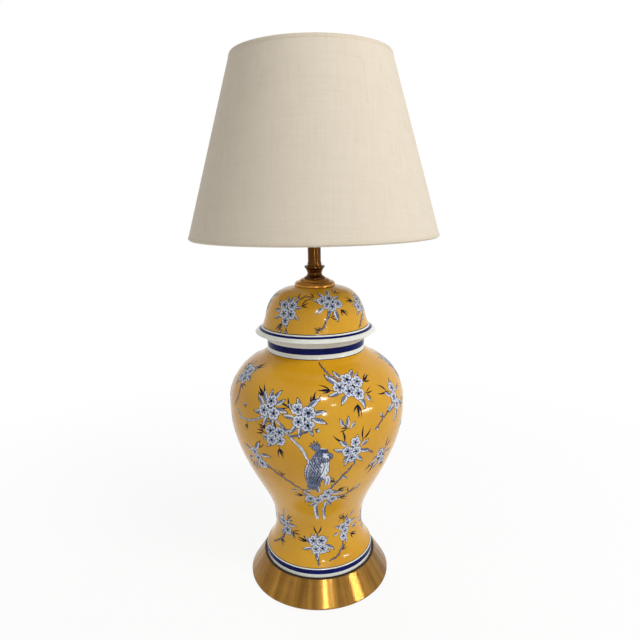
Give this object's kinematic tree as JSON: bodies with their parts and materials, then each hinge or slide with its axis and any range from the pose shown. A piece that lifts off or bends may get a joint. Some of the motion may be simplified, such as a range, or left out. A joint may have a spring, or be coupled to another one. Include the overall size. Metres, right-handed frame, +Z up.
{
  "type": "ginger jar lamp",
  "caption": "Table lamp with a lidded ginger jar body of glazed porcelain, a brass plinth and spindle, a harp and a tapered linen shade.",
  "frame": {"origin": "on the table, in the middle of the felt pad under the plinth", "axes": "+Z up along the lamp's rod, -Y to the front with the switch knob, +Y to the back with the cord outlet, +X to the right with the harp in the XZ plane"},
  "size_m": [0.3542, 0.3542, 0.7874],
  "materials": {
    "felt": "brushed wool felt",
    "board": "pressed fibre board",
    "plinth_brass": "satin spun brass, clear lacquer",
    "dark_plastic": "moulded phenolic",
    "gasket_rubber": "matt dark brown rubber",
    "ballast_iron": "rough cast",
    "zinc_steel": "zinc plated",
    "glazed_porcelain": "yellow glaze with cobalt bands and blossom pattern",
    "aged_brass": "antique brass, satin",
    "harp_brass": "bright brass plate",
    "socket_brass": "polished thin brass",
    "fibre_card": "insulating fibre card",
    "screw_aluminium": "rolled thread",
    "bulb_plastic": "white moulded",
    "frosted_glass": "inside frosted",
    "shade_linen": "natural slub linen",
    "shade_backing": "off-white styrene sheet"
  },
  "bodies": {
    "lamp": {"felt_pad": "felt", "base_board": "board", "brass_plinth": "plinth_brass", "cord_bushing": "dark_plastic", "seat_gasket": "gasket_rubber", "ballast_disc": "ballast_iron", "rod_washer": "zinc_steel", "rod_nut": "zinc_steel", "threaded_rod": "zinc_steel", "jar_body": "glazed_porcelain", "jar_lid": "glazed_porcelain", "rod_centring_washer": "gasket_rubber", "cap_gasket": "gasket_rubber", "vase_cap": "aged_brass", "neck_spindle": "aged_brass", "riser_tube": "aged_brass", "tube_ferrule": "aged_brass", "riser_cap": "aged_brass", "harp_saddle": "harp_brass", "harp_wire": "harp_brass", "harp_stud": "harp_brass", "socket_lock_nut": "zinc_steel", "socket_cap": "socket_brass", "socket_set_screw": "zinc_steel", "socket_shell": "socket_brass", "socket_liner": "fibre_card", "socket_interior": "dark_plastic", "terminal_screws": "socket_brass", "screw_shell": "screw_aluminium", "centre_contact": "socket_brass"},
    "knob": {"switch_shaft": "zinc_steel", "switch_knob": "dark_plastic"},
    "bulb": {"bulb_screw_base": "screw_aluminium", "bulb_insulator": "dark_plastic", "bulb_contact": "zinc_steel", "bulb_body": "bulb_plastic", "bulb_globe": "frosted_glass"},
    "sleeve_left": {"harp_sleeve_left": "harp_brass"},
    "sleeve_right": {"harp_sleeve_right": "harp_brass"},
    "shade": {"shade_fabric": "shade_linen", "shade_liner": "shade_backing", "shade_top_ring": "zinc_steel", "shade_bottom_ring": "zinc_steel", "shade_spider": "harp_brass"},
    "finial": {"finial": "aged_brass"}
  },
  "joints": [
    {"name": "switch_turn", "type": "hinge", "parent": "lamp", "child": "knob", "pos_m": [0, -0.025, 0.5781], "axis": [0, -1, 0], "continuous": true},
    {"name": "bulb_turn", "type": "hinge", "parent": "lamp", "child": "bulb", "pos_m": [0, 0, 0.59], "axis": [0, 0, 1], "continuous": true},
    {"name": "left_sleeve_slide", "type": "slide", "parent": "lamp", "child": "sleeve_left", "axis": [0, 0, 1], "range_m": [0, 0.018]},
    {"name": "right_sleeve_slide", "type": "slide", "parent": "lamp", "child": "sleeve_right", "axis": [0, 0, 1], "range_m": [0, 0.018]},
    {"name": "shade_turn", "type": "hinge", "parent": "lamp", "child": "shade", "pos_m": [0, 0, 0.765], "axis": [0, 0, 1], "continuous": true},
    {"name": "finial_turn", "type": "hinge", "parent": "lamp", "child": "finial", "pos_m": [0, 0, 0.77], "axis": [0, 0, 1], "continuous": true}
  ]
}
